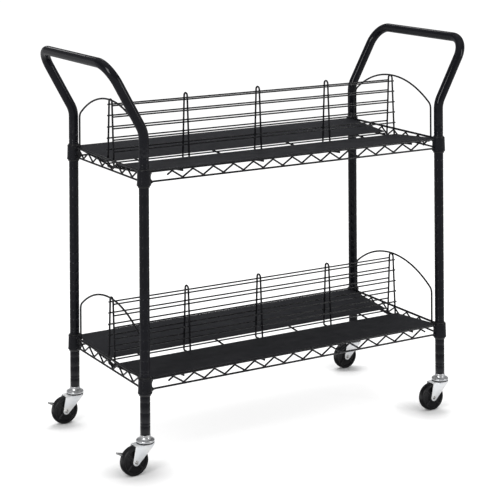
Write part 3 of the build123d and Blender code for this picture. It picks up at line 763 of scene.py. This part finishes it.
    # end arches
    b = Build()
    for s in (-1, 1):
        X = s * 446.5
        c, pk, sh, br = 184.0, 153.0, 91.0, 20.0
        h = pk - sh
        R = (c * c + h * h) / (2 * h)
        zc = pk - R
        yb = c - br
        zb2 = zc + sqrt((R - br) ** 2 - yb * yb)
        ang = atan2(zb2 - zc, yb)
        pts = [(X, -c, z - 3.0)]
        for i in range(9):
            a = ang * i / 8
            pts.append((X, -(yb + br * cos(a)), z + zb2 + br * sin(a)))
        for i in range(1, 40):
            a = ang + (pi - 2 * ang) * i / 40
            pts.append((X, -R * cos(a), z + zc + R * sin(a)))
        for i in range(9):
            a = ang * (8 - i) / 8
            pts.append((X, yb + br * cos(a), z + zb2 + br * sin(a)))
        pts.append((X, c, z - 3.0))
        tube(b, pts, 2.5, 16)
        for t in (-1, 1):
            nugget(b, (s * 448.6, t * c, z - 0.6), 2.6, (0.9, 1.25, 1.2))
        nugget(b, (s * 444.0, 0, z + 153.0), 2.3, (0.9, 1.4, 1.0))
    piece(f"{level}_end_bookstops", b, WIRE, body, [f"{level}_end_arches"])

# ------------------------------------------------------------------ hidden hardware keeps its CAD shape
for n in ("handle_couplers", "post_inserts"):
    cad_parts[n].data.materials.clear()
    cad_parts[n].data.materials.append(ZINC)
for n in ("caster_stems",):
    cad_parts[n].data.materials.clear()
    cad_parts[n].data.materials.append(ZINC)
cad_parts["swivel_balls"].data.materials.clear()
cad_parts["swivel_balls"].data.materials.append(RIVET)

# ------------------------------------------------------------------ casters
b, bs = Build(), Build()
for name, (sx, sy) in CORNERS.items():
    c = (sx * POST_X, sy * POST_Y, 0)
    lathe(b, [(5.56, 78.2), (21.9, 78.2), (22.7, 78.5), (23.05, 79.2), (23.1, 80.4), (22.95, 81.5), (22.5, 82.5), (21.7, 83.3), (20.6, 83.9), (19.3, 84.4), (18.0, 84.9), (16.9, 85.6),
              (15.9, 86.5), (15.1, 87.6), (14.4, 88.9), (13.8, 90.3), (13.4, 91.6), (13.2, 92.8), (13.1, 94.0), (12.7, 94.7), (11.6, 94.95), (5.56, 94.95)], 64, c)
    # near-black ring in the gap between the cap cup and the fork: painted shade, a dark ring standing for the shadow in
    # the ball race
    lathe(bs, [(17.4, 75.5), (21.6, 75.5), (22.4, 75.7), (22.75, 76.3), (22.75, 77.4), (22.4, 78.0), (21.8, 78.12), (17.4, 78.12)], 64, c)
piece("caster_cap_cups", b, ZINC_CAP, "cart_frame", ["caster_caps"], sharp=40)
piece("caster_seal_rings_painted_shade", bs, SEAL_PAINTED_SHADE, "cart_frame", ["caster_seals"], sharp=40)

TRAIL, AZ = 31.0, 36.0


def tangent(px, pz, cx, cz, r, side):
    dx, dz = px - cx, pz - cz
    d = hypot(dx, dz)
    a = atan2(dz, dx) + side * acos(r / d)
    return a


def fork_mesh(b, x0, y0):
    """Pressed fork: sheet folded over a rounded shoulder, each leg tapering to a rounded eye."""
    cx, cz, rt = x0 - TRAIL, AZ, 8.8
    top, t, w = 75.2, 2.0, 15.5
    aL = tangent(x0 - 32.5, top, cx, cz, rt, 1)
    aR = tangent(x0 + 18.0, 71.5, cx, cz, rt, -1)
    lx, lz = cx + rt * cos(aL), cz + rt * sin(aL)
    # leg outline, from the shoulder down one edge, round the eye and up the other
    def left_at(z):
        return (x0 - 32.5) + (lx - (x0 - 32.5)) * (top - z) / (top - lz)
    rx, rz = cx + rt * cos(aR), cz + rt * sin(aR)
    def right_at(z):
        return (x0 + 18.0) + (rx - (x0 + 18.0)) * (71.5 - z) / (71.5 - rz) if z < 71.5 else x0 + 18.0
    R = 3.4
    # cross profile of the fold: outer and inner skins, going from leg foot over the shoulder to mid plane
    def prof(off):
        ro = R - off
        pts = []
        for z in np.linspace(70.0, top - R, 3):
            pts.append((w - off, z))
        for i in range(1, 7):
            a = radians(90 * i / 6)
            pts.append((w - R + ro * cos(a), top - R + ro * sin(a)))
        pts.append((0, top - off))
        return pts
    for sgn in (-1, 1):
        rings = []
        po, pi_ = prof(0), prof(t)
        m = len(po)
        verts, faces = [], []
        xs_n = 9
        for k in range(m):
            (yo, zo), (yi, zi) = po[k], pi_[k]
            xl, xr = left_at(min(zo, top)), right_at(min(zo, 71.5)) if zo < 71.5 else x0 + 18.0
            for i in range(xs_n):
                x = xl + (xr - xl) * i / (xs_n - 1)
                verts.append((x, y0 + sgn * yo, zo))
                verts.append((x, y0 + sgn * yi, zi))
        def idx(k, i, s):
            return (k * xs_n + i) * 2 + s
        for k in range(m - 1):
            for i in range(xs_n - 1):
                faces.append((idx(k, i, 0), idx(k, i + 1, 0), idx(k + 1, i + 1, 0), idx(k + 1, i, 0)))
                faces.append((idx(k, i, 1), idx(k + 1, i, 1), idx(k + 1, i + 1, 1), idx(k, i + 1, 1)))
            faces.append((idx(k, 0, 0), idx(k + 1, 0, 0), idx(k + 1, 0, 1), idx(k, 0, 1)))
            faces.append((idx(k, xs_n - 1, 0), idx(k, xs_n - 1, 1), idx(k + 1, xs_n - 1, 1), idx(k + 1, xs_n - 1, 0)))
        b.add(verts, faces)
        # flat leg below the fold
        zt = 70.0
        out = [(left_at(zt), zt)]
        n_arc = 18
        a0, a1 = math.degrees(aL), math.degrees(aR)
        while a1 < a0:
            a1 += 360
        out += [(cx + rt * cos(radians(a0 + (a1 - a0) * i / n_arc)), cz + rt * sin(radians(a0 + (a1 - a0) * i / n_arc))) for i in range(n_arc + 1)]
        out += [(right_at(zt), zt)]
        # fill the top row so that it meets the fold's vertices
        xl, xr = left_at(zt), right_at(zt)
        out += [(xl + (xr - xl) * i / (xs_n - 1), zt) for i in range(xs_n - 2, 0, -1)]
        nn = len(out)
        ya, yb_ = y0 + sgn * w, y0 + sgn * (w - t)
        vs = [(u, ya, h) for u, h in out] + [(u, yb_, h) for u, h in out]
        fs = [tuple(range(nn)), tuple(range(nn, 2 * nn))[::-1]]
        arc_count = nn - (xs_n - 2)
        for i in range(arc_count - 1):
            fs.append((i, i + 1, nn + i + 1, nn + i))
        b.add(vs, fs)


def wheel_mesh(b, x0, y0):
    w, r = 11.0, 36.0
    c = (x0 - TRAIL, y0, AZ)
    half = [(r, 0), (r - 0.05, 3.2), (r - 0.35, 5.8), (r - 0.95, 7.9), (r - 1.9, 9.5), (r - 3.1, 10.5), (r - 4.4, 10.95), (r - 6.2, 11.0), (r - 7.0, 10.8), (r - 7.6, 10.1),
            (r - 8.0, 8.9), (r - 8.4, 7.4), (r - 9.2, 6.6), (r - 10.5, 6.5), (18.0, 6.5), (14.4, 6.5), (13.2, 6.8), (12.6, 8.2), (12.3, 10.0), (11.9, 10.8), (11.0, 11.0), (7.0, 11.0), (6.4, 10.7), (6.05, 10.2)]
    prof = half + [(a, -h) for a, h in reversed(half) if h != 0]
    lathe(b, prof, 72, c, axis="Y")
    # four broad spokes left proud of the web, each side
    for s in (-1, 1):
        for k in range(4):
            a = radians(90 * k + 45)
            ux, uz = cos(a), -sin(a)
            px, pz = sin(a), cos(a)
            vs = []
            sect = [(-2.2, 5.5), (-1.3, 8.9), (-0.9, 9.25), (0.9, 9.25), (1.3, 8.9), (2.2, 5.5)]
            for rr in (12.0, 20.0, 28.4):
                for q, hgt in sect:
                    vs.append((c[0] + ux * rr + px * q, c[1] + s * hgt, c[2] + uz * rr + pz * q))
            fs = []
            n = len(sect)
            for j in range(2):
                for i in range(n):
                    i2 = (i + 1) % n
                    fs.append((j * n + i, j * n + i2, (j + 1) * n + i2, (j + 1) * n + i))
            fs += [tuple(range(n))[::-1], tuple(2 * n + i for i in range(n))]
            b.add(vs, fs)
    # mould line round the tread
    lathe(b, [(r - 0.3, -0.35), (r + 0.02, -0.12), (r + 0.02, 0.12), (r - 0.3, 0.35)], 72, c, axis="Y")


def axle_mesh(b, x0, y0):
    c = (x0 - TRAIL, y0, AZ)
    w = 15.5
    half = [(0, w + 2.45), (1.6, w + 2.4), (2.9, w + 2.1), (3.9, w + 1.5), (4.55, w + 0.75), (4.75, w + 0.06), (4.0, w + 0.05)]
    prof = half + [(a, -h) for a, h in reversed(half)]
    lathe(b, prof, 32, c, axis="Y")
    # turned-over rivet lip with a shallow dish
    for s in (-1, 1):
        lathe(b, [(2.0, s * (w + 2.2)), (2.3, s * (w + 2.62)), (2.9, s * (w + 2.62)), (3.3, s * (w + 2.2)), (3.0, s * (w + 1.8)), (2.2, s * (w + 1.8))], 32, c, axis="Y")


def lever_mesh(b, x0, y0):
    """Stamped pedal: slim arm beside the wheel and a curled foot tab over the tread."""
    w = 13.5
    t = 1.7
    y1 = y0 + w - 0.25
    up = radians(147.5)
    ux, uz = cos(up), sin(up)
    nx, nz = -uz, ux
    tx, tz = cos(radians(167.0)), sin(radians(167.0))
    px, pz = -tz, tx
    cx, cz = x0 - TRAIL, AZ
    def at(d, n):
        return (cx + ux * d + nx * n, cz + uz * d + nz * n)
    root = at(38.6, 0)
    far = (root[0] + tx * 10.4, root[1] + tz * 10.4)
    eye = arc2(cx, cz, 8.6, math.degrees(up) + 62, math.degrees(up) + 298, 18)
    arm = list(eye)
    arm += [at(14, -5.4), at(24, -5.0), (root[0] - px * 0.85, root[1] - pz * 0.85), (far[0] - px * 0.85, far[1] - pz * 0.85),
            (far[0] + px * 1.8, far[1] + pz * 1.8), (far[0] - tx * 1.5 + px * 3.2, far[1] - tz * 1.5 + pz * 3.2), at(38.5, 5.4), at(24, 5.0), at(14, 5.4)]
    prism(b, arm, y1 - t, y1)
    tab = []
    for s, k in ((0.0, 0.0), (2.5, 0.0), (5.5, 0.05), (8.0, 0.2), (9.4, 0.5), (10.6, 0.95)):
        tab.append((root[0] + tx * s - px * k, root[1] + tz * s - pz * k))
    upper = [(u - px * 0.85, h - pz * 0.85) for u, h in tab]
    lower = [(u + px * 0.85, h + pz * 0.85) for u, h in reversed(tab)]
    prism(b, upper + lower, y1 - 17.0, y1 - 0.4)


for name, (sx, sy) in CORNERS.items():
    x, y = sx * POST_X, sy * POST_Y
    b = Build(); fork_mesh(b, x, y)
    piece(f"fork_pressing_{name}", b, ZINC, f"caster_{name}", [f"caster_fork_{name}"], bevel=0.35, bevel_angle=50, sharp=35)
    b = Build(); wheel_mesh(b, x, y)
    piece(f"wheel_moulding_{name}", b, WHEEL, f"wheel_{name}", [f"caster_wheel_{name}"], sharp=32)
    b = Build(); axle_mesh(b, x, y)
    piece(f"axle_rivet_{name}", b, RIVET, f"caster_{name}", [f"caster_axle_{name}"], sharp=40)
    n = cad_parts[f"wheel_bushing_{name}"]
    n.data.materials.clear(); n.data.materials.append(BRASS)
    if sx < 0:
        b = Build(); lever_mesh(b, x, y)
        piece(f"brake_pedal_{name}", b, ZINC_TAB, f"brake_{name}", [f"brake_lever_{name}"], bevel=0.3, bevel_angle=50, sharp=35)

# ------------------------------------------------------------------ floor, light, camera
# painted floor brightness: FLOOR_SEEN is its glow in reflections far off, FLOOR_GLOW the share of painted glow the
# camera sees
FLOOR_SEEN, FLOOR_GLOW = 0.38, 0.62


def floor_mat():
    """Seamless white sweep that glows to the camera: the glow is painted light that fills in most shadow, leaving only
    a faint contact shadow, and reflections see a painted, dimmer glow instead of the lit floor.
    """
    m = Nodes("stage_floor")
    col = m.mix(m.range(m.noise(1.5, 3.0), 0.3, 0.7), (0.90, 0.90, 0.90, 1), (0.92, 0.92, 0.92, 1))
    m.done(col, 0.8, 0.0, m.bump(m.noise(300.0, 2.0), 0.02, 0.0005), spec=0.1)
    lp = m.n("ShaderNodeLightPath")
    glow = m.n("ShaderNodeEmission")
    glow.inputs[0].default_value = (1.0, 1.0, 1.0, 1)
    glow.inputs[1].default_value = 1.30
    # painted reflection: glossy rays see a set emission, dimmed for short rays close to the cart, not the lit floor
    dim = m.n("ShaderNodeEmission")
    dim.inputs[0].default_value = (1.0, 1.0, 1.02, 1)
    far = m.range(lp.outputs["Ray Length"], 0.26, 0.55, 1.05, FLOOR_SEEN)
    near_in = m.math("MINIMUM", far, m.range(lp.outputs["Ray Length"], 0.09, 0.19, 0.08, 1.05))
    m.link(near_in, dim.inputs[1])
    # the sweep glows less close to each wheel, so it takes a firmer contact shadow there than further away, where the
    # painted glow fills the shadow in
    pos = m.n("ShaderNodeNewGeometry").outputs["Position"]
    near = None
    for sx, sy in CORNERS.values():
        d = m.n("ShaderNodeVectorMath")
        d.operation = "DISTANCE"
        m.link(pos, d.inputs[0])
        d.inputs[1].default_value = ((sx * POST_X - 24.0) * MM, (sy * POST_Y + 6.0) * MM, 0.0)
        near = d.outputs["Value"] if near is None else m.math("MINIMUM", near, d.outputs["Value"])
    painted_glow_share = m.n("ShaderNodeMixShader")
    m.link(m.range(near, 0.040, 0.110, 0.02, FLOOR_GLOW), painted_glow_share.inputs[0])
    m.link(m.bsdf.outputs[0], painted_glow_share.inputs[1])
    m.link(glow.outputs[0], painted_glow_share.inputs[2])
    cam_mix = m.n("ShaderNodeMixShader")
    m.link(lp.outputs["Is Camera Ray"], cam_mix.inputs[0])
    m.link(m.bsdf.outputs[0], cam_mix.inputs[1])
    m.link(painted_glow_share.outputs[0], cam_mix.inputs[2])
    gloss_mix = m.n("ShaderNodeMixShader")
    m.link(lp.outputs["Is Glossy Ray"], gloss_mix.inputs[0])
    m.link(cam_mix.outputs[0], gloss_mix.inputs[1])
    m.link(dim.outputs[0], gloss_mix.inputs[2])
    m.link(gloss_mix.outputs[0], m.out.inputs[0])
    return m.mat



me = bpy.data.meshes.new("floor")
S = 45.0
me.from_pydata([(-S, -S, 0), (S, -S, 0), (S, S, 0), (-S, S, 0)], [], [(0, 1, 2, 3)])
floor = bpy.data.objects.new("floor", me)
bpy.context.scene.collection.objects.link(floor)
me.materials.append(floor_mat())


def area(name, loc, target, size, power, size_y=None, col=(1, 1, 1), gloss=True):
    l = bpy.data.lights.new(name, "AREA")
    l.energy = power
    l.color = col
    l.shape = "RECTANGLE"
    l.size = size
    l.size_y = size_y or size
    o = bpy.data.objects.new(name, l)
    bpy.context.scene.collection.objects.link(o)
    o.location = loc
    o.rotation_euler = (Vector(target) - Vector(loc)).to_track_quat("-Z", "Y").to_euler()
    o.visible_glossy = gloss
    return o


area("key_softbox", (-2.8, -1.5, 2.5), (0, 0, 0.5), 1.0, 40, 1.8)
area("fill_softbox", (2.4, -2.9, 1.9), (0, 0, 0.5), 0.45, 20, 2.0)
area("top_softbox", (0.75, 1.25, 3.1), (0, 0, 0.4), 2.6, 52, 0.7, gloss=False)
area("back_strip", (1.6, 2.6, 2.0), (0, 0, 0.6), 0.5, 14, 2.0, gloss=False)
area("grip_line_left", (-0.27, 2.7, 2.18), (-0.5, 0, 1.0), 0.22, 0.6, 0.32)
area("grip_line_right", (1.24, 2.6, 2.84), (0.5, 0, 1.0), 0.4, 1.3, 0.35)

w = bpy.data.worlds.new("studio")
bpy.context.scene.world = w
w.use_nodes = True
wt = w.node_tree
wt.nodes.clear()
w_out = wt.nodes.new("ShaderNodeOutputWorld")
seen = wt.nodes.new("ShaderNodeBackground")
seen.inputs[0].default_value = (1.0, 1.0, 1.0, 1)
seen.inputs[1].default_value = 1.0
lit = wt.nodes.new("ShaderNodeBackground")
lit.inputs[0].default_value = (1.0, 1.0, 1.0, 1)
lit.inputs[1].default_value = 0.80
refl = wt.nodes.new("ShaderNodeBackground")
w_co = wt.nodes.new("ShaderNodeTexCoord")
w_sep = wt.nodes.new("ShaderNodeSeparateXYZ")
wt.links.new(w_co.outputs["Generated"], w_sep.inputs[0])
w_ramp = wt.nodes.new("ShaderNodeValToRGB")
wt.links.new(w_sep.outputs[2], w_ramp.inputs[0])
el = w_ramp.color_ramp.elements
while len(el) < 5:
    el.new(0.5)
for i, (at, v) in enumerate(((0.0, 0.50), (0.12, 0.26), (0.30, 0.12), (0.60, 0.14), (1.0, 0.36))):
    el[i].position = at
    el[i].color = (v, v, v * 1.02, 1)
wt.links.new(w_ramp.outputs[0], refl.inputs[0])
refl.inputs[1].default_value = 1.0
w_lp = wt.nodes.new("ShaderNodeLightPath")
w_m1 = wt.nodes.new("ShaderNodeMixShader")
w_m2 = wt.nodes.new("ShaderNodeMixShader")
wt.links.new(w_lp.outputs["Is Glossy Ray"], w_m1.inputs[0])
wt.links.new(lit.outputs[0], w_m1.inputs[1])
wt.links.new(refl.outputs[0], w_m1.inputs[2])
wt.links.new(w_lp.outputs["Is Camera Ray"], w_m2.inputs[0])
wt.links.new(w_m1.outputs[0], w_m2.inputs[1])
wt.links.new(seen.outputs[0], w_m2.inputs[2])
wt.links.new(w_m2.outputs[0], w_out.inputs[0])

cam_data = bpy.data.cameras.new("camera")
cam = bpy.data.objects.new("camera", cam_data)
bpy.context.scene.collection.objects.link(cam)
cam_data.sensor_width = 36.0
cam_data.lens = 36.0 * 1557.0 / 500.0
cam_data.shift_x = 0.0
cam_data.shift_y = -(250.0 + 126.9) / 500.0
cam_data.clip_end = 200.0
cam.matrix_world = (
    Matrix.Translation((-2.157, -3.6525, 1.4737))
    @ Matrix.Rotation(radians(-30.326), 4, "Z")
    @ Matrix.Rotation(radians(90.0), 4, "X")
    @ Matrix.Rotation(radians(-0.3293), 4, "Z")
)
bpy.context.scene.camera = cam
# The lens shift belongs to this one viewpoint. From anywhere else the curve below sets it to zero, so the cart stays centred.
shift = cam_data.driver_add("shift_y")
shift.driver.type = "SUM"
for k in range(20):
    where = shift.driver.variables.new()
    where.name = f"x{k}"
    where.type = "TRANSFORMS"
    where.targets[0].id = cam
    where.targets[0].transform_type = "LOC_X"
    where.targets[0].transform_space = "WORLD_SPACE"
for mod in list(shift.modifiers):
    shift.modifiers.remove(mod)
while len(shift.keyframe_points):
    shift.keyframe_points.remove(shift.keyframe_points[0])
AT_X, SHIFT_Y = 20 * -2.157, -(250.0 + 126.9) / 500.0
for off, v in ((-0.08, 0.0), (-0.04, SHIFT_Y), (0.04, SHIFT_Y), (0.08, 0.0)):
    shift.keyframe_points.insert(AT_X + off, v).interpolation = "LINEAR"
shift.extrapolation = "CONSTANT"
bpy.context.scene.view_settings.view_transform = "Standard"
bpy.context.scene.view_settings.look = "None"
bpy.context.scene.view_settings.exposure = 0.0
